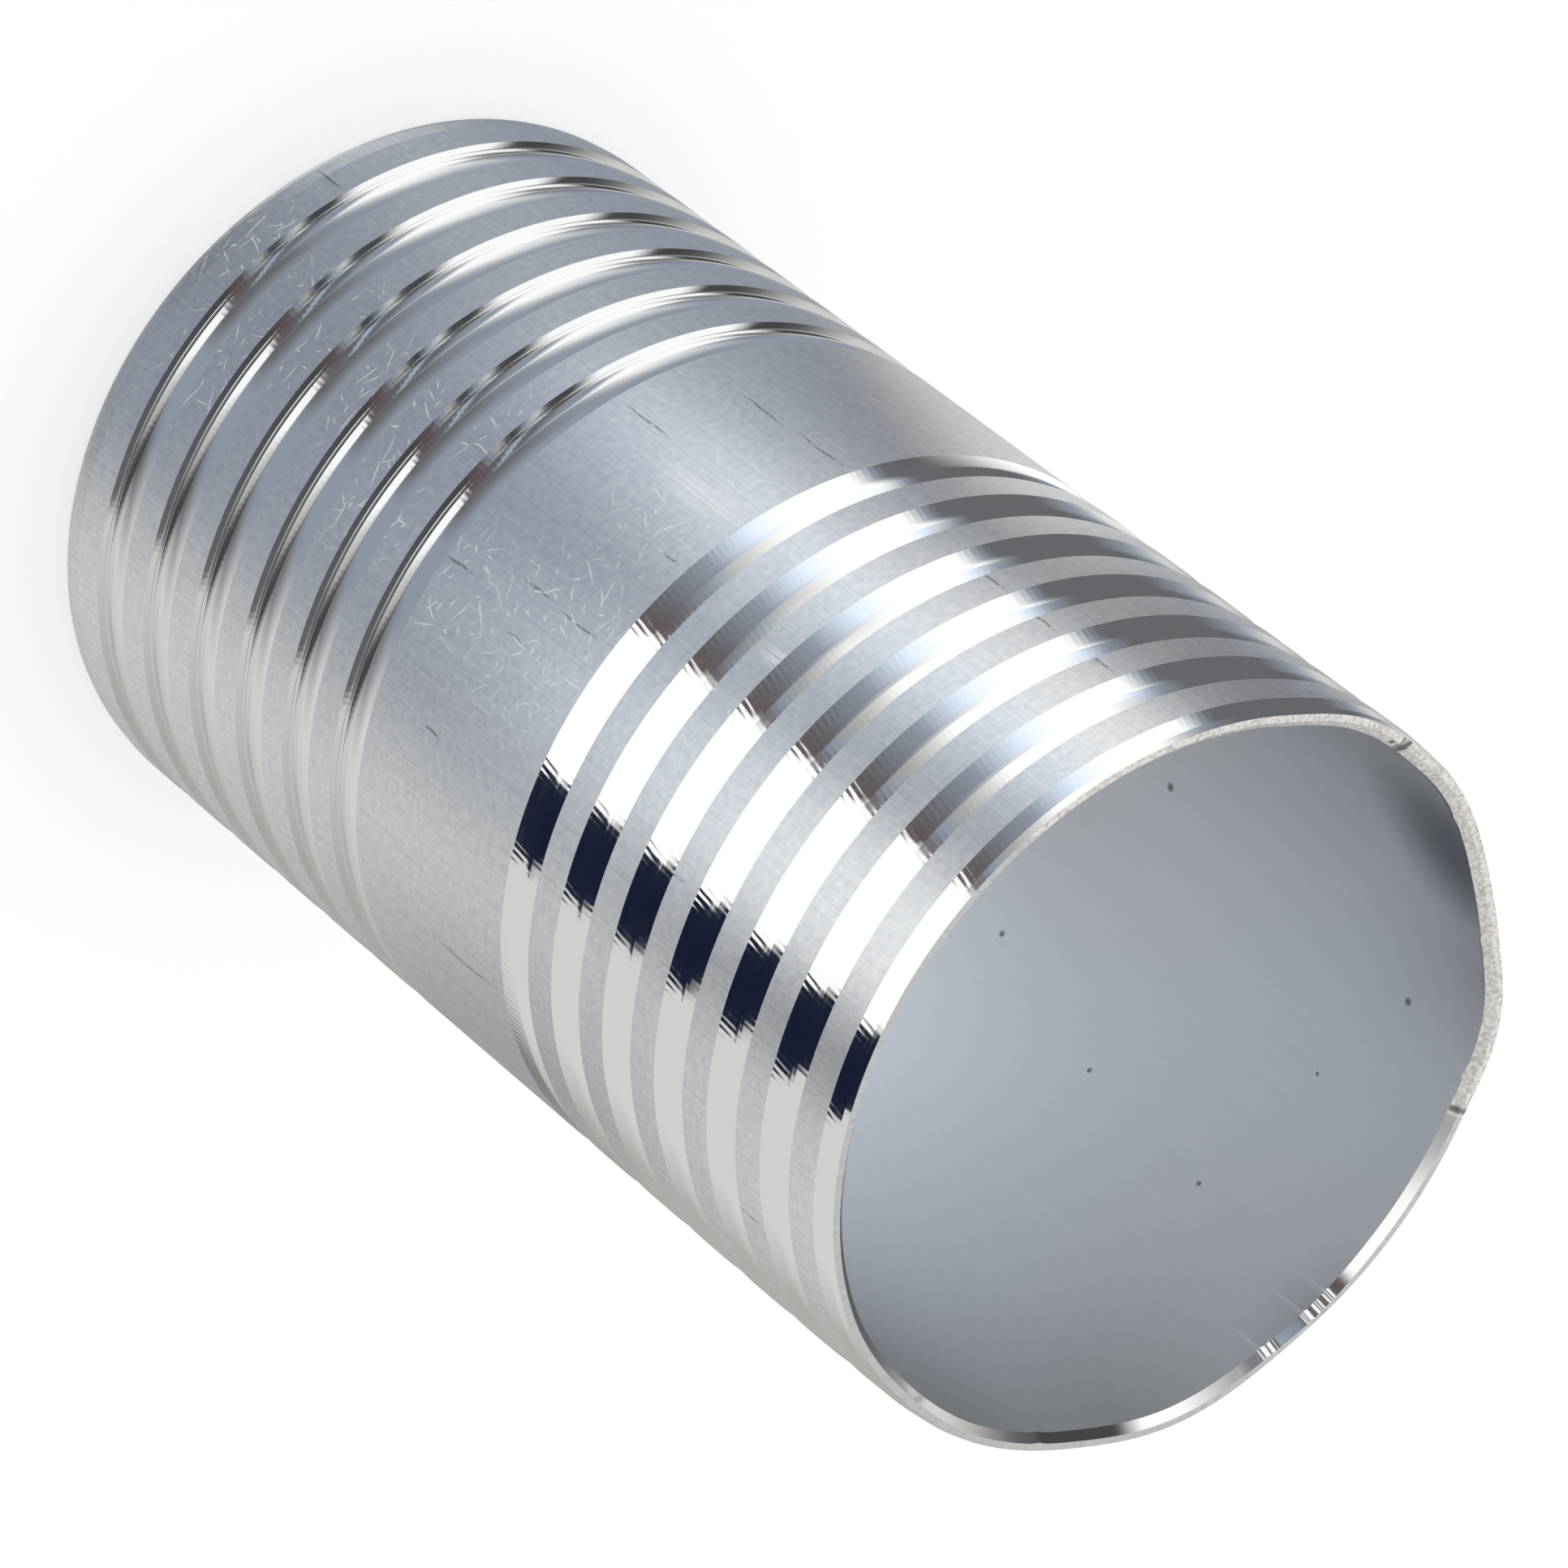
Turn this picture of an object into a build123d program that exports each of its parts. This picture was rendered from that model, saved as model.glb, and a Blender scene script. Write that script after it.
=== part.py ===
from build123d import *
import os

# Double-ended barbed hose tail: a joiner for two hoses of 50 mm bore, turned from one length of
# thin drawn aluminium tube. The tube stands on one end, with its axis on Z and that end on Z = 0.
# All sizes are in millimetres.

# Driving dimensions
outside_diameter = 50.0     # over the plain lands, which is the bore of the hose
wall = 1.25                 # of the drawn tube, before it is turned
plain_middle = 16.2         # unturned band between the two barbed ends
barbs_per_end = 6
barb_pitch = 5.5
groove_width = 3.0          # each groove is as wide as the cutter
step_height = 0.6           # sharp step that holds the hose, on the rim's side of the groove
ramp_run = 1.6              # gentle part of the ramp, next to the land on the middle's side
ramp_drop = 0.18            # how deep the gentle part goes before the ramp steepens
rim_taper_run = 1.2         # gentle part of the lead-in at each rim
rim_edge_run = 0.45         # steeper part of the lead-in, out to the end face
bore_chamfer = 0.5          # deburred inner edge of each rim

# Derived dimensions
outer_radius = outside_diameter / 2
bore_radius = outer_radius - wall
land_width = barb_pitch - groove_width
gentle_slope = ramp_drop / ramp_run
steep_slope = (step_height - ramp_drop) / (groove_width - ramp_run)
lead_in = rim_taper_run + rim_edge_run
barbed_end = lead_in + barbs_per_end * barb_pitch
overall_length = 2 * barbed_end + plain_middle


def lead_in_points():
    """Lead-in of the lower rim, as (radius, z) points from the end face up to the first land."""
    taper_radius = outer_radius - gentle_slope * rim_taper_run
    rim_radius = taper_radius - steep_slope * rim_edge_run
    return [(rim_radius, 0), (taper_radius, rim_edge_run), (outer_radius, lead_in)]


def barb_points(step_z):
    """One groove of the lower end: the step in from the land below it, then the two-part ramp."""
    ramp_top_z = step_z + groove_width
    return [
        (outer_radius, step_z),
        (outer_radius - step_height, step_z),
        (outer_radius - ramp_drop, ramp_top_z - ramp_run),
        (outer_radius, ramp_top_z),
    ]


def mirrored(points):
    """The same points on the upper end, in the order that carries the outline on."""
    return [(radius, overall_length - z) for radius, z in reversed(points)]


lower_outside = lead_in_points()
for barb in range(barbs_per_end):
    lower_outside += barb_points(lead_in + land_width + barb * barb_pitch)
lower_bore = [(bore_radius, bore_chamfer), (bore_radius + bore_chamfer, 0)]
half_outline = lower_bore + lower_outside

with BuildPart() as hose_tail:
    with BuildSketch(Plane.XZ):
        with BuildLine():
            Polyline(*half_outline, *mirrored(half_outline), close=True)
        make_face()
    revolve(axis=Axis.Z)

os.makedirs("parts", exist_ok=True)
export_step(hose_tail.part, "parts/hose_tail.step")

print(f"overall length {overall_length:.2f} mm, bore {2 * bore_radius:.2f} mm")
print(f"volume {hose_tail.part.volume / 1000:.2f} cm3")
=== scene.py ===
import math

import bpy
from mathutils import Matrix, Vector


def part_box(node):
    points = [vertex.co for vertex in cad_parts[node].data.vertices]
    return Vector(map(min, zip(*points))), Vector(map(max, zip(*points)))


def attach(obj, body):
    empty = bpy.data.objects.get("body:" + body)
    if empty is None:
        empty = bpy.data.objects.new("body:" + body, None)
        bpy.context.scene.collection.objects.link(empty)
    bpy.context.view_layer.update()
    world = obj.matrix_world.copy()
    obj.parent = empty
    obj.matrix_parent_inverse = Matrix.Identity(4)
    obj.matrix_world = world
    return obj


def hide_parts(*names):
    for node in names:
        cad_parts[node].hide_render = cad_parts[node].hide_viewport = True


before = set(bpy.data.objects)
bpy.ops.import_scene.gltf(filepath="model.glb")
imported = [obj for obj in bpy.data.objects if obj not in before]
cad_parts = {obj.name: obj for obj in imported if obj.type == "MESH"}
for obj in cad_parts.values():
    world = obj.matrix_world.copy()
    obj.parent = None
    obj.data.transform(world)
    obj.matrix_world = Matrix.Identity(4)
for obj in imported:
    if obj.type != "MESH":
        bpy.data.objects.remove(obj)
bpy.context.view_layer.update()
MM = 0.001

# ---------------------------------------------------------------------------------------------
# Drawn tube: the thin aluminium tube that everything is cut into. It was pulled through a die,
# which leaves its outside and its bore satin, with faint lines along the axis. Handling has left
# short white scratches and a few dark marks along those lines.
# ---------------------------------------------------------------------------------------------
_, tube_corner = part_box("hose_tail")
outer_radius = tube_corner.x
tube_length = tube_corner.z
wall = 1.25 * MM

# A place on the tube is an angle in degrees from -Y towards +X, and a height in millimetres.
# Dark marks are (angle, start, end), scuffed spots are (angle, height, radius), and painted
# highlights are (angle, height, half length, half width).
dark_marks = [
    (-42.0, 39.5, 45.0), (-42.5, 45.5, 51.0), (-42.2, 63.5, 68.0), (-41.7, 69.4, 73.4),
    (-42.0, 74.6, 78.6), (-28.0, 0.6, 4.6), (-28.2, 36.0, 41.5), (0.9, 41.6, 44.9),
    (1.3, 45.6, 50.2), (4.9, 34.8, 38.4), (8.0, 43.0, 45.0), (20.0, 64.5, 66.6),
    (26.5, 40.2, 42.2), (-14.0, 48.6, 50.8), (57.0, 43.0, 51.0), (59.0, 76.0, 78.6),
]
scuffs = [
    (-24, 46, 7), (5, 46, 8), (8, 37, 5), (-12, 3, 5), (-8, 12, 6), (-6, 22, 6),
    (4, 60, 5), (5, 7, 5), (6, 27, 5), (-14, 30, 4), (-30, 60, 4),
]
# Painted highlights: spots whitened to stand in for bright streaks of reflected light.
painted_highlight_spots = [(-24, 46.5, 5.5, 1.4), (-12, 62, 3, 0.8)]

# Dark marks are 0.24 mm wide and bent. The bend moves them back by 0.57 degrees on average, so
# each is drawn that much ahead.
dark_mark_half_width = 0.12
dark_mark_bend = (0.5 * MM, 1.0 * MM, 0)
dark_mark_lead = 0.57

# Scratches come in three sizes, each (spacing, half length, half width). Real ones are a few
# hundredths of a millimetre wide, too fine to show, so they are drawn about 0.1 mm wide.
scratch_sizes = [
    (3.1 * MM, 1.3 * MM, 0.07 * MM),
    (1.3 * MM, 0.32 * MM, 0.08 * MM),
    (2.1 * MM, 0.8 * MM, 0.06 * MM),
]
scratched_share = 0.8
scratch_bend = (0.7 * MM, 0.7 * MM, 0)


def linear(hex_colour):
    """An sRGB hex colour as the linear RGBA that shader sockets take."""
    parts = [int(hex_colour[i : i + 2], 16) / 255 for i in (1, 3, 5)]
    curve = [c / 12.92 if c <= 0.04045 else ((c + 0.055) / 1.055) ** 2.4 for c in parts]
    return (*curve, 1.0)


def add_node(material, kind, settings=None, links=None):
    """Adds one shader node, sets its properties and sockets, and links other nodes' outputs to it."""
    node = material.node_tree.nodes.new(kind)
    for name, value in (settings or {}).items():
        if isinstance(name, int) or name in node.inputs:
            node.inputs[name].default_value = value
        else:
            setattr(node, name, value)
    for name, output in (links or {}).items():
        material.node_tree.links.new(output, node.inputs[name])
    return node


def new_material(name):
    """An empty node material."""
    material = bpy.data.materials.new(name)
    material.use_nodes = True
    material.node_tree.nodes.clear()
    return material


def nearest_spot(material, point, spots):
    """How far a point of the unrolled surface is from the nearest oval spot, where 1 is its edge.
    Spots are (angle in degrees, height, half length, half width), in millimetres."""
    nearest = None
    for angle, height, half_length, half_width in spots:
        centre = (outer_radius * math.radians(angle), height * MM, 0)
        half_size = (half_width * MM, half_length * MM, 1)
        offset = add_node(material, "ShaderNodeVectorMath", {"operation": "SUBTRACT", 1: centre},
                          {0: point})
        oval = add_node(material, "ShaderNodeVectorMath", {"operation": "DIVIDE", 1: half_size},
                        {0: offset.outputs[0]})
        away = add_node(material, "ShaderNodeVectorMath", {"operation": "LENGTH"}, {0: oval.outputs[0]})
        if nearest:
            nearer = add_node(material, "ShaderNodeMath", {"operation": "MINIMUM"},
                              {0: nearest, 1: away.outputs["Value"]})
            nearest = nearer.outputs[0]
        else:
            nearest = away.outputs["Value"]
    return nearest


# Drawn aluminium: satin, so its reflections are soft and pale, with faint lines along the axis.
# Real die lines are too fine to show, so they are drawn 0.2 mm apart, and thirty times as long.
# Each has its own shift along the axis, and a mottle of about half a millimetre breaks them up.
die_line_spacing = 0.2 * MM
die_line_squeeze = 0.03
die_line_depth = 0.002 * MM
longest_shift = 3 * MM
shift_width = 1 / 3 * MM
mottle_size = 5 / 9 * MM
warp_size = 2 * MM
drawn_aluminium = new_material("drawn_aluminium")
place = add_node(drawn_aluminium, "ShaderNodeTexCoord").outputs["UV"]
across_only = add_node(drawn_aluminium, "ShaderNodeVectorMath",
                       {"operation": "MULTIPLY", 1: (1, 0, 0)}, {0: place})
shift = add_node(drawn_aluminium, "ShaderNodeTexNoise", {"Scale": 1 / shift_width, "Detail": 1},
                 {"Vector": across_only.outputs[0]})
shift = add_node(drawn_aluminium, "ShaderNodeVectorMath",
                 {"operation": "MULTIPLY", 1: (0, longest_shift, 0)}, {0: shift.outputs["Color"]})
stretched = add_node(drawn_aluminium, "ShaderNodeVectorMath",
                     {"operation": "MULTIPLY_ADD", 1: (1, die_line_squeeze, 1)},
                     {0: place, 2: shift.outputs[0]})
die_lines = add_node(drawn_aluminium, "ShaderNodeTexNoise", {"Scale": 1 / die_line_spacing, "Detail": 3},
                     {"Vector": stretched.outputs[0]})
mottle = add_node(drawn_aluminium, "ShaderNodeTexNoise", {"Scale": 1 / mottle_size, "Detail": 4},
                  {"Vector": place})
uneven = add_node(drawn_aluminium, "ShaderNodeMath", {"operation": "ADD"},
                  {0: die_lines.outputs[0], 1: mottle.outputs[0]})
tone = add_node(drawn_aluminium, "ShaderNodeMapRange", {"From Min": 0.75, "From Max": 1.25},
                {"Value": uneven.outputs[0]})
pale = add_node(drawn_aluminium, "ShaderNodeMix",
                {"data_type": "RGBA", 6: linear("#E4E7EC"), 7: linear("#FBFBFB")}, {0: tone.outputs[0]})

# The dark marks are broken where the mottle is low.
warp = add_node(drawn_aluminium, "ShaderNodeTexNoise", {"Scale": 1 / warp_size, "Detail": 3},
                {"Vector": place})
shaken = add_node(drawn_aluminium, "ShaderNodeVectorMath",
                  {"operation": "MULTIPLY_ADD", 1: dark_mark_bend}, {0: warp.outputs["Color"], 2: place})
mark_spots = [(angle + dark_mark_lead, (start + end) / 2, (end - start) / 2, dark_mark_half_width)
              for angle, start, end in dark_marks]
mark = add_node(drawn_aluminium, "ShaderNodeMapRange",
                {"From Min": 1.0, "From Max": 0.5, "To Max": 0.55},
                {"Value": nearest_spot(drawn_aluminium, shaken.outputs[0], mark_spots)})
broken = add_node(drawn_aluminium, "ShaderNodeMapRange", {"From Min": 0.36, "From Max": 0.5},
                  {"Value": mottle.outputs[0]})
mark = add_node(drawn_aluminium, "ShaderNodeMath", {"operation": "MULTIPLY"},
                {0: mark.outputs[0], 1: broken.outputs[0]})
marked = add_node(drawn_aluminium, "ShaderNodeMix", {"data_type": "RGBA", 7: linear("#30343C")},
                  {0: mark.outputs[0], 6: pale.outputs[2]})
roughness = add_node(drawn_aluminium, "ShaderNodeMapRange",
                     {"From Min": 0.3, "From Max": 0.7, "To Min": 0.37, "To Max": 0.39},
                     {"Value": die_lines.outputs[0]})
relief = add_node(drawn_aluminium, "ShaderNodeBump", {"Strength": 1.0, "Distance": die_line_depth},
                  {"Height": die_lines.outputs[0]})
metal = add_node(drawn_aluminium, "ShaderNodeBsdfPrincipled", {"Metallic": 1.0},
                 {"Base Color": marked.outputs[2], "Roughness": roughness.outputs[0],
                  "Normal": relief.outputs[0]})

# White scratches lie every way, at most one to a cell, and are plain only in the scuffed spots.
bent = add_node(drawn_aluminium, "ShaderNodeVectorMath",
                {"operation": "MULTIPLY_ADD", 1: scratch_bend}, {0: warp.outputs["Color"], 2: place})
scratch = None
for spacing, half_length, half_width in scratch_sizes:
    cells = add_node(drawn_aluminium, "ShaderNodeTexVoronoi",
                     {"voronoi_dimensions": "2D", "Scale": 1 / spacing}, {"Vector": bent.outputs[0]})
    offset = add_node(drawn_aluminium, "ShaderNodeVectorMath", {"operation": "SUBTRACT"},
                      {0: bent.outputs[0], 1: cells.outputs["Position"]})
    dice = add_node(drawn_aluminium, "ShaderNodeSeparateXYZ", links={0: cells.outputs["Color"]})
    turn = add_node(drawn_aluminium, "ShaderNodeMath", {"operation": "MULTIPLY", 1: 2 * math.pi},
                    {0: dice.outputs["X"]})
    along = add_node(drawn_aluminium, "ShaderNodeVectorRotate", {"rotation_type": "Z_AXIS"},
                     {"Vector": offset.outputs[0], "Angle": turn.outputs[0]})
    oval = add_node(drawn_aluminium, "ShaderNodeVectorMath",
                    {"operation": "DIVIDE", 1: (half_length, half_width, 1)}, {0: along.outputs[0]})
    away = add_node(drawn_aluminium, "ShaderNodeVectorMath", {"operation": "LENGTH"}, {0: oval.outputs[0]})
    line = add_node(drawn_aluminium, "ShaderNodeMapRange", {"From Min": 1.0, "From Max": 0.5},
                    {"Value": away.outputs["Value"]})
    chosen = add_node(drawn_aluminium, "ShaderNodeMath", {"operation": "LESS_THAN", 1: scratched_share},
                      {0: dice.outputs["Y"]})
    kept = add_node(drawn_aluminium, "ShaderNodeMath", {"operation": "MULTIPLY"},
                    {0: line.outputs[0], 1: chosen.outputs[0]})
    if scratch:
        scratch = add_node(drawn_aluminium, "ShaderNodeMath", {"operation": "MAXIMUM"},
                           {0: scratch.outputs[0], 1: kept.outputs[0]})
    else:
        scratch = kept
scuffed_spots = [(angle, height, radius, radius) for angle, height, radius in scuffs]
scuffed = add_node(drawn_aluminium, "ShaderNodeMapRange",
                   {"From Min": 1.0, "From Max": 0.5, "To Min": 0.06, "To Max": 0.54},
                   {"Value": nearest_spot(drawn_aluminium, place, scuffed_spots)})
scratch = add_node(drawn_aluminium, "ShaderNodeMath", {"operation": "MULTIPLY"},
                   {0: scratch.outputs[0], 1: scuffed.outputs[0]})

# Painted highlights: spots whitened along the die lines, in place of bright streaks of light.
painted_highlight = add_node(drawn_aluminium, "ShaderNodeMapRange",
                  {"From Min": 1.0, "From Max": 0.2, "interpolation_type": "SMOOTHSTEP"},
                  {"Value": nearest_spot(drawn_aluminium, place, painted_highlight_spots)})
highlight_lines = add_node(drawn_aluminium, "ShaderNodeMapRange",
                     {"From Min": 0.38, "From Max": 0.56, "To Max": 0.75},
                     {"Value": die_lines.outputs[0]})
painted_highlight = add_node(drawn_aluminium, "ShaderNodeMath", {"operation": "MULTIPLY"},
                  {0: painted_highlight.outputs[0], 1: highlight_lines.outputs[0]})
# The real scratches and the painted highlights both take the bright white finish.
wear_and_highlight = add_node(drawn_aluminium, "ShaderNodeMath", {"operation": "MAXIMUM"},
                {0: scratch.outputs[0], 1: painted_highlight.outputs[0]})
bright = add_node(drawn_aluminium, "ShaderNodeBsdfPrincipled",
                  {"Base Color": linear("#F6F4F4"), "Metallic": 0.1, "Roughness": 0.6})
scratched_and_highlighted = add_node(drawn_aluminium, "ShaderNodeMixShader",
                links={0: wear_and_highlight.outputs[0], 1: metal.outputs[0], 2: bright.outputs[0]})
add_node(drawn_aluminium, "ShaderNodeOutputMaterial", links={"Surface": scratched_and_highlighted.outputs[0]})

# Drawn aluminium of the bore: the same satin metal, smoother, with a painted dark reflection inside
# the dented rim, a painted shadow line along its edge, and a few specks. Its die lines are too fine
# to show as well, so they are drawn 0.4 mm apart. The painted shade is listed as painted highlights
# are, and specks as scuffed spots are.
bore_line_spacing = 0.4 * MM
bore_line_squeeze = 0.02
# Painted shade: a dark reflection inside the dent, and a shadow line along the rim's inner edge.
bore_painted_shade = [(-113, 84, 11, 8.5), (-100, 84.9, 0.45, 19)]
bore_specks = [
    (-142, 53.9, 0.4), (-178, 46.0, 0.3), (-147, 78.8, 0.35),
    (174, 59.0, 0.25), (-165, 74.3, 0.2), (171, 71.9, 0.25),
]
bore_aluminium = new_material("bore_aluminium")
place = add_node(bore_aluminium, "ShaderNodeTexCoord").outputs["UV"]
stretched = add_node(bore_aluminium, "ShaderNodeVectorMath",
                     {"operation": "MULTIPLY", 1: (1, bore_line_squeeze, 1)}, {0: place})
bore_lines = add_node(bore_aluminium, "ShaderNodeTexNoise", {"Scale": 1 / bore_line_spacing, "Detail": 3},
                      {"Vector": stretched.outputs[0]})
pale = add_node(bore_aluminium, "ShaderNodeMix",
                {"data_type": "RGBA", 6: linear("#EEEFF1"), 7: linear("#F6F6F6")},
                {0: bore_lines.outputs[0]})
# Painted shade darkens the bore inside the dented rim.
painted_shade = add_node(bore_aluminium, "ShaderNodeMapRange",
                 {"From Min": 1.0, "From Max": 0.1, "To Max": 0.75, "interpolation_type": "SMOOTHSTEP"},
                 {"Value": nearest_spot(bore_aluminium, place, bore_painted_shade)})
shaded = add_node(bore_aluminium, "ShaderNodeMix", {"data_type": "RGBA", 7: linear("#4A525C")},
                   {0: painted_shade.outputs[0], 6: pale.outputs[2]})
speck_spots = [(angle, height, radius, radius) for angle, height, radius in bore_specks]
speck = add_node(bore_aluminium, "ShaderNodeMapRange", {"From Min": 1.0, "From Max": 0.4, "To Max": 0.7},
                 {"Value": nearest_spot(bore_aluminium, place, speck_spots)})
specked = add_node(bore_aluminium, "ShaderNodeMix", {"data_type": "RGBA", 7: linear("#2C2C30")},
                   {0: speck.outputs[0], 6: shaded.outputs[2]})
metal = add_node(bore_aluminium, "ShaderNodeBsdfPrincipled", {"Metallic": 1.0, "Roughness": 0.38},
                 {"Base Color": specked.outputs[2]})
add_node(bore_aluminium, "ShaderNodeOutputMaterial", links={"Surface": metal.outputs[0]})

# ---------------------------------------------------------------------------------------------
# Ring barbs: six grooves turned at each end. A form tool cut them bright, and its chatter left
# fine ripples along the axis. The step faces the middle of the tube and holds the hose.
# ---------------------------------------------------------------------------------------------
barbs_per_end = 6
barb_pitch = 5.5 * MM
groove_width = 3.0 * MM
land_width = barb_pitch - groove_width
step_height = 0.6 * MM
ramp_run = 1.6 * MM
ramp_drop = 0.18 * MM
ramp_rows = 5
gentle_slope = ramp_drop / ramp_run
steep_slope = (step_height - ramp_drop) / (groove_width - ramp_run)
root_radius = 0.12 * MM
root_rows = 5
root_run_out = 0.06 * MM
knee_round = 0.25 * MM
knee_rows = 4
rim_taper_run = 1.2 * MM
rim_edge_run = 0.45 * MM
lead_in = rim_taper_run + rim_edge_run
middle_to_groove = tube_length / 2 - lead_in - barbs_per_end * barb_pitch

# Turned aluminium: mirror-bright, with ripples that comb the edges of its reflections. Real ones
# are too close together to show, so 340 go round, 0.46 mm apart. They are strongest at the ends
# of each groove, and weaker on the lower half and from calm_side round towards -X. Their strengths
# are (share of the pitch, strength), outwards from each groove's edge nearest the middle.
ripples_round = 340
ripple_slant = 0.25
ripple_height = 0.004 * MM
ripple_strengths = [(0.0, 0.65), (0.16, 0.4), (0.26, 0.12), (0.42, 0.2), (0.52, 0.8)]
waver_length = 10 / 3 * MM
waver_radians = 5.0
calm_side, rippled_side = -18, -6
feed_line_spacing = 1 / 9 * MM
feed_line_squeeze = 0.02
turned_aluminium = new_material("turned_aluminium")
place = add_node(turned_aluminium, "ShaderNodeTexCoord").outputs["UV"]
unrolled = add_node(turned_aluminium, "ShaderNodeSeparateXYZ", links={0: place})
from_middle = add_node(turned_aluminium, "ShaderNodeMath", {"operation": "SUBTRACT", 1: tube_length / 2},
                       {0: unrolled.outputs["Y"]})
from_middle = add_node(turned_aluminium, "ShaderNodeMath", {"operation": "ABSOLUTE"},
                       {0: from_middle.outputs[0]})
grooves_out = add_node(turned_aluminium, "ShaderNodeMath",
                       {"operation": "SUBTRACT", 1: middle_to_groove}, {0: from_middle.outputs[0]})
grooves_out = add_node(turned_aluminium, "ShaderNodeMath", {"operation": "DIVIDE", 1: barb_pitch},
                       {0: grooves_out.outputs[0]})
groove_number = add_node(turned_aluminium, "ShaderNodeMath", {"operation": "FLOOR"},
                         {0: grooves_out.outputs[0]})
across = add_node(turned_aluminium, "ShaderNodeMath", {"operation": "FRACT"}, {0: grooves_out.outputs[0]})
strength = add_node(turned_aluminium, "ShaderNodeValToRGB", links={"Fac": across.outputs[0]})
elements = strength.color_ramp.elements
for number, (share, level) in enumerate(ripple_strengths):
    element = elements[number] if number < 2 else elements.new(share)
    element.position = share
    element.color = (level, level, level, 1)
waver = add_node(turned_aluminium, "ShaderNodeTexNoise", {"Scale": 1 / waver_length, "Detail": 2},
                 {"Vector": place})
lag = add_node(turned_aluminium, "ShaderNodeMath", {"operation": "MULTIPLY", 1: -ripple_slant},
               {0: unrolled.outputs["Y"]})
round_it = add_node(turned_aluminium, "ShaderNodeMath", {"operation": "ADD"},
                    {0: unrolled.outputs["X"], 1: lag.outputs[0]})
phase = add_node(turned_aluminium, "ShaderNodeMath",
                 {"operation": "MULTIPLY", 1: ripples_round / outer_radius}, {0: round_it.outputs[0]})
phase = add_node(turned_aluminium, "ShaderNodeMath", {"operation": "ADD"},
                 {0: phase.outputs[0], 1: groove_number.outputs[0]})
phase = add_node(turned_aluminium, "ShaderNodeMath", {"operation": "MULTIPLY_ADD", 1: waver_radians},
                 {0: waver.outputs[0], 2: phase.outputs[0]})
wave = add_node(turned_aluminium, "ShaderNodeMath", {"operation": "SINE"}, {0: phase.outputs[0]})
uneven = add_node(turned_aluminium, "ShaderNodeMapRange",
                  {"From Min": 0.3, "From Max": 0.7, "To Min": 0.3, "To Max": 1.2},
                  {"Value": waver.outputs[0]})
lower_half_calm = add_node(turned_aluminium, "ShaderNodeMapRange",
                           {"From Min": 0.45 * tube_length, "From Max": 0.55 * tube_length,
                            "To Min": 0.15, "To Max": 1.0}, {"Value": unrolled.outputs["Y"]})
one_side_calm = add_node(turned_aluminium, "ShaderNodeMapRange",
                         {"From Min": outer_radius * math.radians(calm_side),
                          "From Max": outer_radius * math.radians(rippled_side),
                          "To Min": 0.3, "To Max": 1.0}, {"Value": unrolled.outputs["X"]})
for factor in (strength.outputs["Color"], uneven.outputs[0], lower_half_calm.outputs[0],
               one_side_calm.outputs[0]):
    wave = add_node(turned_aluminium, "ShaderNodeMath", {"operation": "MULTIPLY"},
                    {0: wave.outputs[0], 1: factor})
relief = add_node(turned_aluminium, "ShaderNodeBump", {"Strength": 1.0, "Distance": ripple_height},
                  {"Height": wave.outputs[0]})
feed = add_node(turned_aluminium, "ShaderNodeVectorMath",
                {"operation": "MULTIPLY", 1: (feed_line_squeeze, 1, 1)}, {0: place})
feed_lines = add_node(turned_aluminium, "ShaderNodeTexNoise", {"Scale": 1 / feed_line_spacing, "Detail": 1},
                      {"Vector": feed.outputs[0]})
roughness = add_node(turned_aluminium, "ShaderNodeMapRange",
                     {"From Min": 0.3, "From Max": 0.7, "To Min": 0.04, "To Max": 0.1},
                     {"Value": feed_lines.outputs[0]})
metal = add_node(turned_aluminium, "ShaderNodeBsdfPrincipled",
                 {"Base Color": linear("#F6F7F8"), "Metallic": 1.0},
                 {"Roughness": roughness.outputs[0], "Normal": relief.outputs[0]})
add_node(turned_aluminium, "ShaderNodeOutputMaterial", links={"Surface": metal.outputs[0]})

# ---------------------------------------------------------------------------------------------
# Rims: both ends are faced and have a short lead-in outside and a deburred edge inside. The upper
# rim has been knocked a little out of round, and its edge has nicks and burrs.
# ---------------------------------------------------------------------------------------------
bore_chamfer = 0.5 * MM
bore_radius = outer_radius - wall
taper_radius = outer_radius - gentle_slope * rim_taper_run
rim_radius = taper_radius - steep_slope * rim_edge_run

# Dents are (angle, half width in degrees, millimetres outwards), and fade with depth in the tube.
# Nicks are (angle, half width in degrees, millimetres down, millimetres inwards), and only the
# inner edge of the upper rim has them. The rim is torn matt from one angle to the other.
dents = [(-118, 24, -0.6), (-144, 16, 0.5), (-74, 16, 0.3), (142, 22, 0.55), (86, 20, -0.2)]
dent_reach = 14 * MM
nicks = [
    (-83, 0.9, 0.6, -0.1), (-45, 1.2, 0.1, 0.05), (-55, 1.0, 0.1, 0.0), (-103, 1.5, 0.1, 0.06),
    (-128, 1.2, 0.0, 0.08), (-151, 1.0, 0.15, 0.1), (157.3, 0.6, 0.0, 0.14),
    (159.2, 0.5, 0.06, -0.03), (165.8, 0.6, 0.0, 0.18), (168.0, 0.6, 0.08, -0.04),
    (170.4, 0.6, 0.0, 0.12), (166, 14, 0.0, -0.16), (116, 1.5, 0.06, 0.05),
]
nick_reach = 0.55 * MM
nick_inset = 0.1 * MM
torn_from, torn_to = -158, -15
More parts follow.
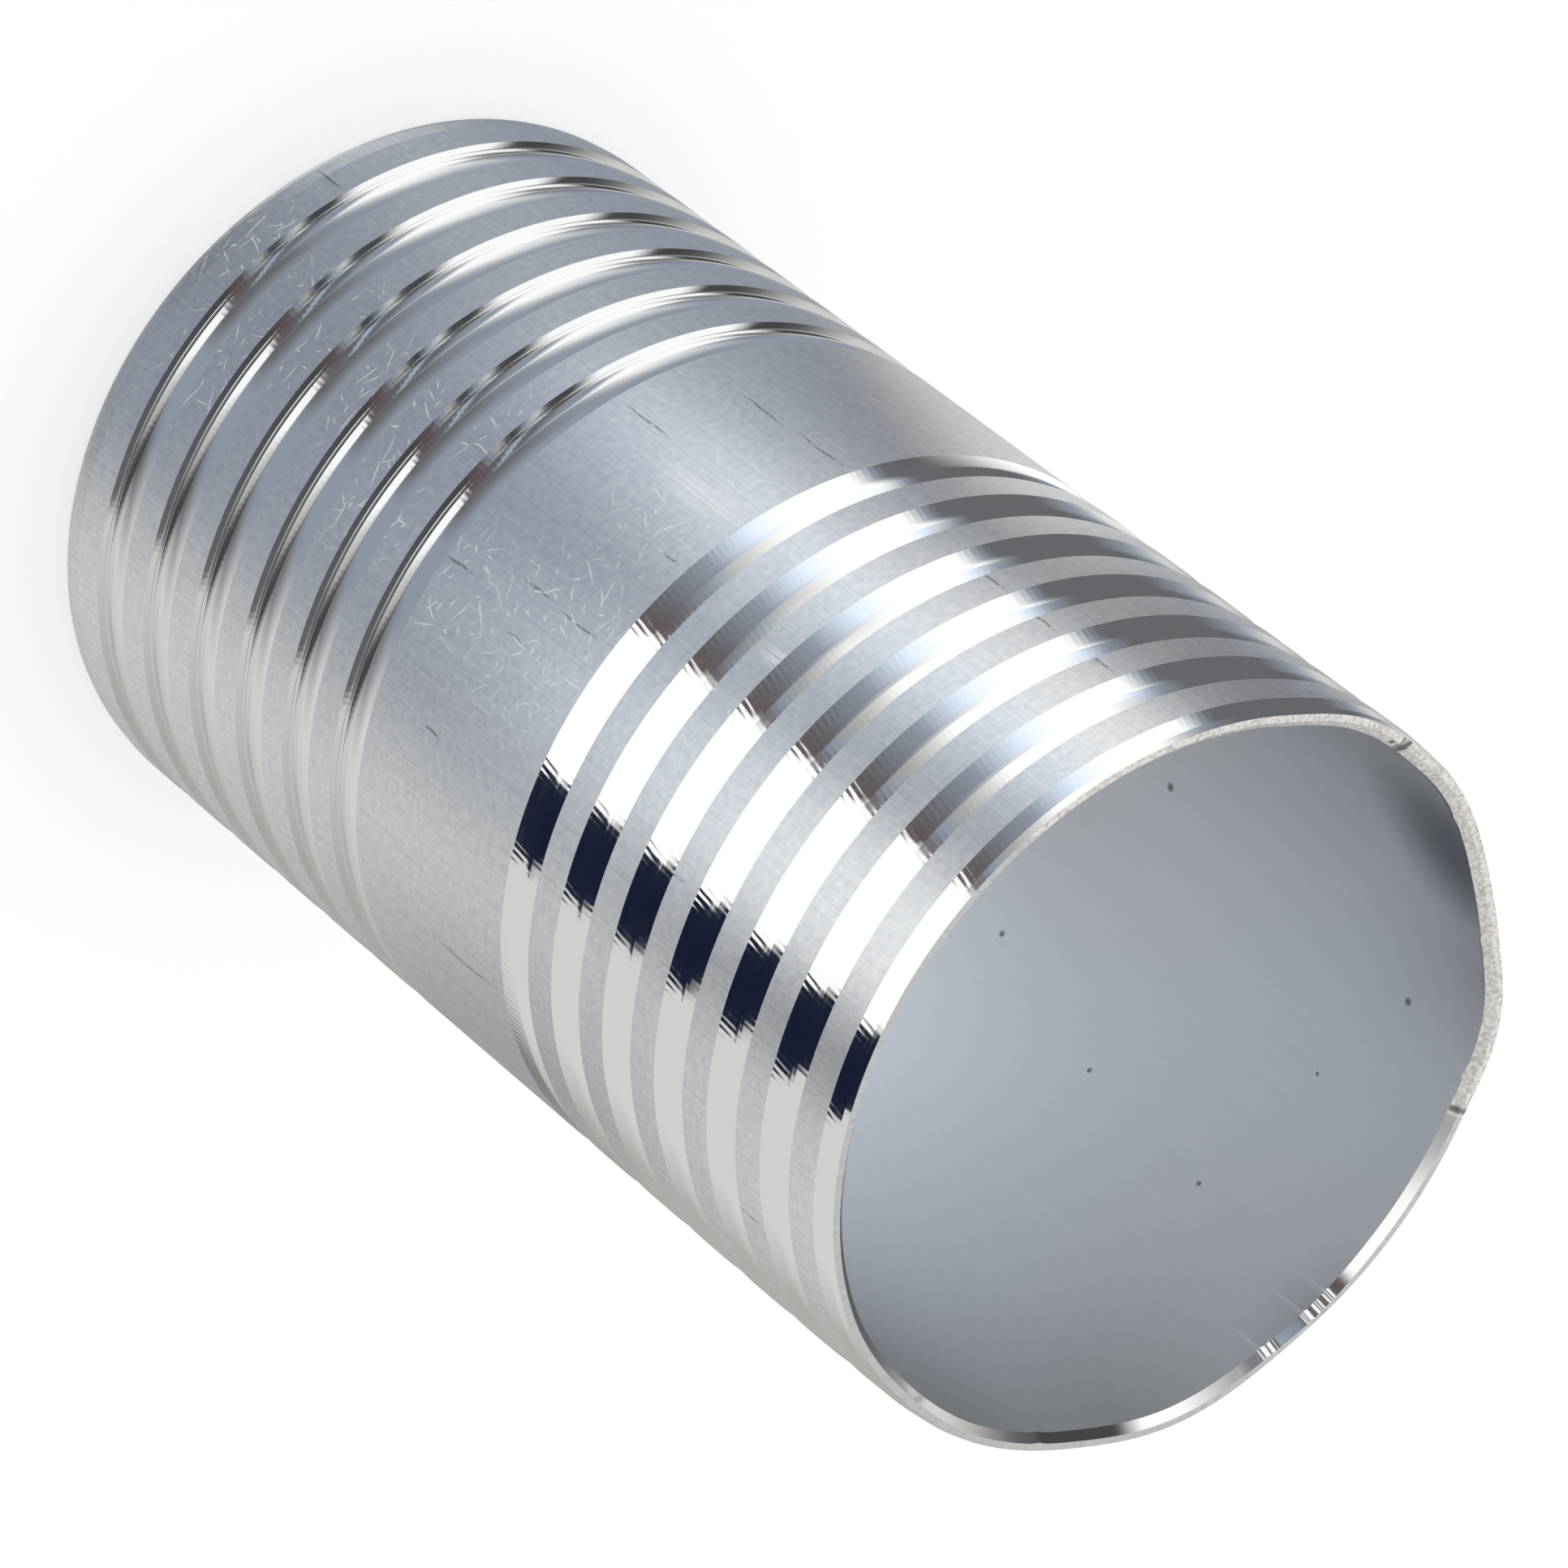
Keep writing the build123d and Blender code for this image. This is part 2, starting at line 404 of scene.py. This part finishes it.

# Faced aluminium: matt, ivory-grey and finely speckled, because the torn metal scatters the light.
# The real grain is too fine to show, so it is drawn about 0.3 mm across. Painted shade darkens its
# V-notch and one nick, at spots given as (angle, half length, half width).
grain_size = 2 / 7 * MM
grain_depth = 0.003 * MM
notch_shade = [(-83.6, 0.5, 0.16), (-82.0, 0.5, 0.14), (-80.6, 0.2, 0.25), (-156.5, 0.5, 0.3)]
notch_height = tube_length / MM - 0.2
faced_aluminium = new_material("faced_aluminium")
place = add_node(faced_aluminium, "ShaderNodeTexCoord")
grain = add_node(faced_aluminium, "ShaderNodeTexNoise", {"Scale": 1 / grain_size, "Detail": 3},
                 {"Vector": place.outputs["Object"]})
tone = add_node(faced_aluminium, "ShaderNodeMapRange", {"From Min": 0.35, "From Max": 0.6},
                {"Value": grain.outputs[0]})
ivory = add_node(faced_aluminium, "ShaderNodeMix",
                 {"data_type": "RGBA", 6: linear("#D2CDC9"), 7: linear("#FBF8F5")}, {0: tone.outputs[0]})
relief = add_node(faced_aluminium, "ShaderNodeBump", {"Strength": 1.0, "Distance": grain_depth},
                  {"Height": grain.outputs[0]})
notch_shade_spots = [(angle, notch_height, half_length, half_width)
               for angle, half_length, half_width in notch_shade]
# Painted shade in the V-notch and the nick.
notch_shade_mask = add_node(faced_aluminium, "ShaderNodeMapRange", {"From Min": 1.0, "From Max": 0.5, "To Max": 0.8},
                 {"Value": nearest_spot(faced_aluminium, place.outputs["UV"], notch_shade_spots)})
notch_shaded = add_node(faced_aluminium, "ShaderNodeMix", {"data_type": "RGBA", 7: linear("#4C5450")},
                   {0: notch_shade_mask.outputs[0], 6: ivory.outputs[2]})
metal = add_node(faced_aluminium, "ShaderNodeBsdfPrincipled", {"Metallic": 0.4, "Roughness": 0.45},
                 {"Base Color": notch_shaded.outputs[2], "Normal": relief.outputs[0]})
add_node(faced_aluminium, "ShaderNodeOutputMaterial", links={"Surface": metal.outputs[0]})

# Deburred aluminium: the smooth, bright bevel that a hand tool leaves inside each rim.
deburred_aluminium = new_material("deburred_aluminium")
metal = add_node(deburred_aluminium, "ShaderNodeBsdfPrincipled",
                 {"Base Color": linear("#F6F7F8"), "Metallic": 1.0, "Roughness": 0.06})
add_node(deburred_aluminium, "ShaderNodeOutputMaterial", links={"Surface": metal.outputs[0]})

# The mesh numbers its finishes in this order.
finish_materials = [drawn_aluminium, turned_aluminium, faced_aluminium, bore_aluminium,
                    deburred_aluminium]
DRAWN, TURNED, FACED, BORE, DEBURRED = range(len(finish_materials))


def half_outline(ramp_curve, lead_in_finish):
    """The outline of one half, from its bore round its rim to its last groove, with the gentle part
    of each ramp straight (1) or rounded (2). Each entry is a radius, a distance from the rim, the
    finish of the band that follows it, and whether it is a sharp edge."""
    points = [
        (bore_radius, bore_chamfer, DEBURRED, True),
        (bore_radius + bore_chamfer, 0.0, FACED, True),
        (rim_radius, 0.0, lead_in_finish, True),
        (taper_radius, rim_edge_run, lead_in_finish, True),
        (outer_radius, lead_in, DRAWN, True),
    ]
    root_turn = math.pi / 2 + math.atan(steep_slope)
    root_reach = root_radius * math.tan(root_turn / 2)
    root = outer_radius - step_height
    straight = ramp_curve == 1
    for barb in range(barbs_per_end):
        step_z = lead_in + land_width + barb * barb_pitch
        knee_z = step_z + groove_width - ramp_run
        points.append((outer_radius, step_z, TURNED, True))
        for row in range(root_rows + 1):
            angle = root_turn * row / root_rows
            points.append((root + root_reach - root_radius * math.sin(angle),
                           step_z + root_radius - root_radius * math.cos(angle), TURNED, False))
        root_end_radius, root_end_z = points[-1][:2]
        points.append((root_end_radius + root_run_out * steep_slope, root_end_z + root_run_out,
                       TURNED, False))
        for row in range(knee_rows + 1 if straight else 0):
            along = row / knee_rows
            before = (1 - along) ** 2 * knee_round
            after = along ** 2 * knee_round
            points.append((outer_radius - ramp_drop - before * steep_slope + after * gentle_slope,
                           knee_z - before + after, TURNED, False))
        for row in range(1 if straight else 0, ramp_rows):
            rest = 1 - row / ramp_rows
            points.append((outer_radius - ramp_drop * rest ** ramp_curve,
                           knee_z + ramp_run * (1 - rest), TURNED, row == 0))
        points.append((outer_radius, step_z + groove_width, DRAWN, True))
    return points


def swell(angle, z):
    """How far the dents push the wall outwards at an angle in degrees and a height."""
    fade = max(0.0, 1 - (tube_length - z) / dent_reach) ** 2
    total = 0.0
    for centre, half_width, depth in dents:
        away = abs(angle - centre) / half_width
        if away < 1:
            total += depth * MM * math.cos(math.pi / 2 * away) ** 2
    return total * fade


# The tube is one ring after another: from the foot of the bore round the lower rim, up the
# outside, over the upper rim and some way down the bore, where a few rings follow the dents. The
# last ring joins the first.
bore_ring_depths = (15, 12, 9, 6, 4, 2)
lower_half = half_outline(2, DRAWN)
upper_half = [(bore_radius, depth * MM, BORE, False) for depth in bore_ring_depths]
upper_half += half_outline(1, TURNED)
outline = [(radius, z, sharp) for radius, z, _, sharp in lower_half]
outline += [(radius, tube_length - depth, sharp) for radius, depth, _, sharp in reversed(upper_half)]
finishes = [finish for _, _, finish, _ in lower_half]
finishes += [finish for _, _, finish, _ in reversed(upper_half[:-1])]
finishes.append(BORE)
upper_bevel = outline.index((bore_radius + bore_chamfer, tube_length, True))
upper_rim = upper_bevel - 1

# Columns are 0.9 degrees apart, and closer only where the rim's nicks need it.
coarse_turn, fine_turn = 0.9, 0.3
nicked_spans = [(153, 178), (-85, -81)]
turns = [-180.0]
while turns[-1] < 180:
    nicked = any(start < turns[-1] < end for start, end in nicked_spans)
    turns.append(turns[-1] + (fine_turn if nicked else coarse_turn))
turns[-1] = 180.0
turn_steps = len(turns) - 1

verts = []
for radius, z, _ in outline:
    inner_edge = z > tube_length - nick_reach and radius < rim_radius - nick_inset
    ring_nicks = nicks if inner_edge else []
    for turn in turns[:-1]:
        angle = math.radians(turn)
        wide = radius + swell(turn, z)
        drop = 0.0
        for centre, half_width, depth, inward in ring_nicks:
            share = max(0.0, 1 - abs(turn - centre) / half_width)
            wide -= inward * MM * share
            drop += depth * MM * share
        verts.append((wide * math.sin(angle), -wide * math.cos(angle), z - drop))

# Each face's place on the unrolled surface is its distance round the tube and its height.
faces, face_finish, places = [], [], []
for ring in range(len(outline)):
    following = (ring + 1) % len(outline)
    z, next_z = outline[ring][1], outline[following][1]
    for step in range(turn_steps):
        beside = (step + 1) % turn_steps
        faces.append((ring * turn_steps + step, ring * turn_steps + beside,
                      following * turn_steps + beside, following * turn_steps + step))
        torn = torn_from < turns[step] < torn_to
        if ring == upper_bevel:
            face_finish.append(FACED if torn else DEBURRED)
        elif ring == upper_rim:
            face_finish.append(FACED if torn else DRAWN)
        else:
            face_finish.append(finishes[ring])
        left = outer_radius * math.radians(turns[step])
        right = outer_radius * math.radians(turns[step + 1])
        places += [left, z, right, z, right, next_z, left, next_z]
mesh = bpy.data.meshes.new("hose_tail_turned")
mesh.from_pydata(verts, [], faces)
mesh.uv_layers.new(name="unrolled").data.foreach_set("uv", places)
mesh.polygons.foreach_set("material_index", face_finish)
mesh.polygons.foreach_set("use_smooth", [True] * len(faces))
for material in finish_materials:
    mesh.materials.append(material)

# An edge is sharp where it runs round the tube along a sharp ring.
sharp_edges = [abs(a - b) in (1, turn_steps - 1) and outline[a // turn_steps][2]
               for a, b in mesh.edge_keys]
mesh.attributes.new("sharp_edge", "BOOLEAN", "EDGE").data.foreach_set("value", sharp_edges)
mesh.update()
tube = bpy.data.objects.new("hose_tail_turned", mesh)
bpy.context.scene.collection.objects.link(tube)
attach(tube, "root")
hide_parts("hose_tail")

# ---------------------------------------------------------------------------------------------
# Studio: a pale floor, an even white light from all round, and cards round the tube that only its
# reflections see. They stand for the windows, walls and dark corners of a room.
# ---------------------------------------------------------------------------------------------
floor_reach = 3.0
floor_glow = 0.3
world_strength = 0.9

# Pale floor: matt white paper that glows a little where it is seen, so that it comes out white and
# keeps the shadow. The cards take its place in the metal's reflections.
pale_floor = new_material("pale_floor")
path = add_node(pale_floor, "ShaderNodeLightPath")
seen = add_node(pale_floor, "ShaderNodeMath", {"operation": "MAXIMUM"},
                {0: path.outputs["Is Camera Ray"], 1: path.outputs["Is Glossy Ray"]})
seen = add_node(pale_floor, "ShaderNodeMath", {"operation": "MAXIMUM"},
                {0: seen.outputs[0], 1: path.outputs["Is Transmission Ray"]})
lift = add_node(pale_floor, "ShaderNodeMath", {"operation": "MULTIPLY", 1: floor_glow},
                {0: seen.outputs[0]})
glow = add_node(pale_floor, "ShaderNodeEmission", links={"Strength": lift.outputs[0]})
paper = add_node(pale_floor, "ShaderNodeBsdfDiffuse", {"Color": linear("#F4F4F4")})
both = add_node(pale_floor, "ShaderNodeAddShader", links={0: paper.outputs[0], 1: glow.outputs[0]})
add_node(pale_floor, "ShaderNodeOutputMaterial", links={"Surface": both.outputs[0]})
floor_corners = [(-floor_reach, -floor_reach, 0), (floor_reach, -floor_reach, 0),
                 (floor_reach, floor_reach, 0), (-floor_reach, floor_reach, 0)]
floor_mesh = bpy.data.meshes.new("floor")
floor_mesh.from_pydata(floor_corners, [], [(0, 1, 2, 3)])
floor_mesh.materials.append(pale_floor)
floor = bpy.data.objects.new("floor", floor_mesh)
bpy.context.scene.collection.objects.link(floor)
floor.visible_glossy = False

world = bpy.data.worlds.new("studio")
bpy.context.scene.world = world
world.use_nodes = True
world.node_tree.nodes["Background"].inputs["Color"].default_value = (1, 1, 1, 1)
world.node_tree.nodes["Background"].inputs["Strength"].default_value = world_strength

# The cards are a little brighter than white, which makes up for what the metal absorbs.
card_columns = 180
card_strength = 1.12


def reflection_card(name, rows, first_stops, last_stops):
    """A card for the metal to reflect. Its columns run the way a mirror on the tube's wall sends
    the line of sight, so a stop at an angle on the card shows at that angle on the tube. Each row
    is (reach from the wall, height, share of the last stops), and stops are (angle, colour)."""
    points, quads, shares = [], [], []
    for reach, height, share in rows:
        for column in range(card_columns + 1):
            turn = math.pi * (column / card_columns - 0.5)
            x = outer_radius * math.sin(turn) + reach * MM * math.sin(2 * turn)
            y = -outer_radius * math.cos(turn) - reach * MM * math.cos(2 * turn)
            points.append((x, y, height * MM))
            shares.append((column / card_columns, share))
    for row in range(len(rows) - 1):
        for column in range(card_columns):
            start = row * (card_columns + 1) + column
            above = start + card_columns + 1
            quads.append((start, start + 1, above + 1, above))
    card_mesh = bpy.data.meshes.new(name)
    card_mesh.from_pydata(points, [], quads)
    layer = card_mesh.uv_layers.new(name="place")
    for loop in card_mesh.loops:
        layer.data[loop.index].uv = shares[loop.vertex_index]
    material = new_material(name)
    spot = add_node(material, "ShaderNodeTexCoord")
    split = add_node(material, "ShaderNodeSeparateXYZ", links={0: spot.outputs["UV"]})
    ramps = []
    for stops in (first_stops, last_stops):
        ramp = add_node(material, "ShaderNodeValToRGB", links={"Fac": split.outputs["X"]})
        elements = ramp.color_ramp.elements
        for number, (angle, colour) in enumerate(stops):
            share = (angle + 90) / 180
            element = elements[number] if number < 2 else elements.new(share)
            element.position = share
            element.color = linear(colour)
        ramps.append(ramp.outputs["Color"])
    mix = add_node(material, "ShaderNodeMix", {"data_type": "RGBA"},
                   {0: split.outputs["Y"], 6: ramps[0], 7: ramps[1]})
    glow = add_node(material, "ShaderNodeEmission", {"Strength": card_strength}, {"Color": mix.outputs[2]})
    add_node(material, "ShaderNodeOutputMaterial", links={"Surface": glow.outputs[0]})
    card_mesh.materials.append(material)
    card = bpy.data.objects.new(name, card_mesh)
    bpy.context.scene.collection.objects.link(card)
    card.visible_camera = False
    card.visible_diffuse = False
    card.visible_shadow = False
    card.visible_transmission = False


# Tones of the room, from its windows to its darkest corner.
WINDOW = "#FFFFFC"
HAZE = "#E4F0FF"
PLASTER = "#CCCCC9"
MIST = "#B0C2D4"
STONE = "#A8A7A2"
ASH = "#8A929E"
SLATE = "#64768A"
STEEL = "#646467"
UMBER = "#5A4C4E"
SHADE = "#434345"
INK = "#161C30"

# What the tube's plain middle, its upper lands and its upper grooves reflect, from near to far.
middle_stops = [
    (-90, PLASTER), (-76, PLASTER), (-60, STEEL), (-50, ASH), (-37, ASH), (-28, HAZE), (-21, MIST),
    (-8, SLATE), (8, SLATE), (21, SHADE), (30, ASH), (40, PLASTER), (60, STONE), (90, ASH),
]
front_land_stops = [
    (-90, PLASTER), (-76, WINDOW), (-62, WINDOW), (-55, PLASTER), (-50, INK), (-36, INK),
    (-30, WINDOW), (-13, WINDOW), (-7, MIST), (-2, MIST), (6, HAZE), (18, HAZE),
    (28, WINDOW), (36, PLASTER), (48, ASH), (64, STEEL), (90, STONE),
]
front_stops = [
    (-90, HAZE), (-84, STONE), (-76, PLASTER), (-69, ASH), (-62, STEEL), (-44.8, STEEL),
    (-42.8, ASH), (-39.6, WINDOW), (-28, WINDOW), (-23.5, HAZE), (-16, ASH), (-8, STEEL),
    (-4, UMBER), (-3.7, WINDOW), (18.6, WINDOW), (18.8, INK), (31, INK), (31.2, PLASTER),
    (54, PLASTER), (68, STONE), (84, STONE), (90, HAZE),
]
knee_stops = [
    (-90, STONE), (-76, PLASTER), (-69, ASH), (-62, STEEL), (-44.5, STEEL), (-40.5, ASH),
    (-37, HAZE), (-35, WINDOW), (-25, WINDOW), (-19, PLASTER), (-13, ASH), (-8, STEEL),
    (-3.9, UMBER), (-3.6, WINDOW), (17.8, WINDOW), (18, INK), (29.4, INK), (29.6, PLASTER),
    (54, PLASTER), (68, STONE), (90, STONE),
]
far_stops = [
    (-90, HAZE), (-80, STONE), (-68, PLASTER), (-62, ASH), (-57, STEEL), (-42.5, STEEL),
    (-39, ASH), (-36, PLASTER), (-33, WINDOW), (-18, WINDOW), (-14.5, PLASTER), (-11, STONE),
    (-7, ASH), (-3.6, UMBER), (-3.3, WINDOW), (16.8, WINDOW), (17, INK), (27.8, INK),
    (28, PLASTER), (54, PLASTER), (68, STONE), (84, STONE), (90, HAZE),
]
reflection_card("table_middle_card", [(36, 0.5, 0.0), (50, 0.5, 0.0), (56, 0.5, 1.0), (64, 0.5, 1.0)],
                middle_stops, front_land_stops)
reflection_card("table_front_card", [(64, 0.5, 0.0), (72, 0.5, 1.0), (150, 0.5, 1.0)],
                front_land_stops, front_stops)
reflection_card("table_knee_card", [(150, 0.5, 0.0), (190, 0.5, 1.0), (250, 0.5, 1.0)],
                front_stops, knee_stops)
reflection_card("table_far_card", [(250, 0.5, 0.0), (310, 0.5, 1.0), (660, 5.0, 1.0)],
                knee_stops, far_stops)

# What the steps and roots of the lower grooves reflect, above the tube.
sky_stops = [
    (-90, PLASTER), (-70, PLASTER), (-65, STONE), (-60, STEEL), (-56, SHADE), (-51, SHADE),
    (-47.5, WINDOW), (-27, WINDOW), (-23, SHADE), (-18.5, SHADE), (-17, PLASTER), (-15, ASH),
    (-13.5, SHADE), (-12, SHADE), (-10.5, STONE), (-9, ASH), (-7, UMBER), (-5, UMBER),
    (-4, SHADE), (27, STEEL), (30, PLASTER), (60, STONE), (90, STONE),
]
zenith_stops = [
    (-90, STONE), (-84, PLASTER), (-78, SHADE), (-70, SHADE), (-67.5, WINDOW), (-47, WINDOW),
    (-44.5, PLASTER), (-42, ASH), (-36, ASH), (-28, STEEL), (-24, STEEL), (-21, MIST),
    (-18, STEEL), (-6, UMBER), (-4, WINDOW), (10, WINDOW), (18, PLASTER), (28, STONE),
    (33, STEEL), (38, SHADE), (45, SHADE), (53, PLASTER), (90, STONE),
]
sky_rows = [
    (660, 5.0, 0.0), (690, 300, 0.0), (600, 500, 0.0), (500, 590, 0.1), (400, 650, 1.0),
    (200, 720, 1.0), (0.1, 740, 1.0),
]
reflection_card("sky_card", sky_rows, sky_stops, zenith_stops)

# What the lower lands and the ramps of the lower grooves reflect, below the tube.
rear_land_stops = [
    (-90, PLASTER), (-84, PLASTER), (-79, STONE), (-74, ASH), (20, ASH), (34, PLASTER),
    (48, PLASTER), (80, STONE), (90, STONE),
]
rear_ramp_stops = [
    (-90, ASH), (-82, ASH), (-79, SHADE), (-68, SHADE), (-65, STEEL), (-61, STONE), (-56, WINDOW),
    (-44, WINDOW), (-38, PLASTER), (-32, ASH), (-18, STEEL), (-2, STEEL), (6, ASH), (18, ASH),
    (30, STEEL), (36, STEEL), (43, STONE), (50, PLASTER), (90, STONE),
]
below_rows = [
    (1500, -200, 0.0), (360, -300, 0.0), (320, -345, 0.0), (262, -396, 0.6), (190, -420, 1.0),
    (100, -440, 1.0), (0.1, -450, 1.0),
]
reflection_card("below_card", below_rows, rear_land_stops, rear_ramp_stops)

# Bore card: a lit disc across the foot of the bore, which the bore shows. It is pale and cool on
# the -X side, and darker and warmer on the other.
bore_card_strength = 1.28
bore_card_radius = 0.99 * bore_radius
bore_card_height = 0.5 * MM
bore_card_corners = 72
bore_card_material = new_material("bore_card")
spot = add_node(bore_card_material, "ShaderNodeTexCoord")
side = add_node(bore_card_material, "ShaderNodeSeparateXYZ", links={0: spot.outputs["Object"]})
warmth = add_node(bore_card_material, "ShaderNodeMapRange",
                  {"From Min": -bore_radius, "From Max": bore_radius}, {"Value": side.outputs["X"]})
shade = add_node(bore_card_material, "ShaderNodeMix",
                 {"data_type": "RGBA", 6: linear("#DCE8F4"), 7: linear("#8C8884")},
                 {0: warmth.outputs[0]})
glow = add_node(bore_card_material, "ShaderNodeEmission", {"Strength": bore_card_strength},
                {"Color": shade.outputs[2]})
add_node(bore_card_material, "ShaderNodeOutputMaterial", links={"Surface": glow.outputs[0]})
bore_card_points = []
for corner in range(bore_card_corners):
    angle = 2 * math.pi * corner / bore_card_corners
    bore_card_points.append((bore_card_radius * math.sin(angle), -bore_card_radius * math.cos(angle),
                             bore_card_height))
bore_card_mesh = bpy.data.meshes.new("bore_card")
bore_card_mesh.from_pydata(bore_card_points, [], [range(bore_card_corners)])
bore_card_mesh.materials.append(bore_card_material)
bore_card = bpy.data.objects.new("bore_card", bore_card_mesh)
bpy.context.scene.collection.objects.link(bore_card)
bore_card.visible_camera = False
bore_card.visible_diffuse = False
bore_card.visible_shadow = False

# Camera: a long lens above the tube, rolled so that the open rim is at the lower right.
camera_place = Vector((0.0, -433.85, 453.44)) * MM
camera_aim = Vector((0.337, 0.0, 45.21)) * MM
camera_roll = math.radians(128.518)
camera_data = bpy.data.cameras.new("camera")
camera_data.sensor_width = 36.0
camera_data.lens = 220.34
camera_data.clip_start = 0.01
camera_data.clip_end = 10.0
camera = bpy.data.objects.new("camera", camera_data)
looking = (camera_aim - camera_place).to_track_quat("-Z", "Y").to_matrix().to_4x4()
camera.matrix_world = Matrix.Translation(camera_place) @ looking @ Matrix.Rotation(camera_roll, 4, "Z")
bpy.context.scene.collection.objects.link(camera)
bpy.context.scene.camera = camera
bpy.context.scene.view_settings.view_transform = "Standard"
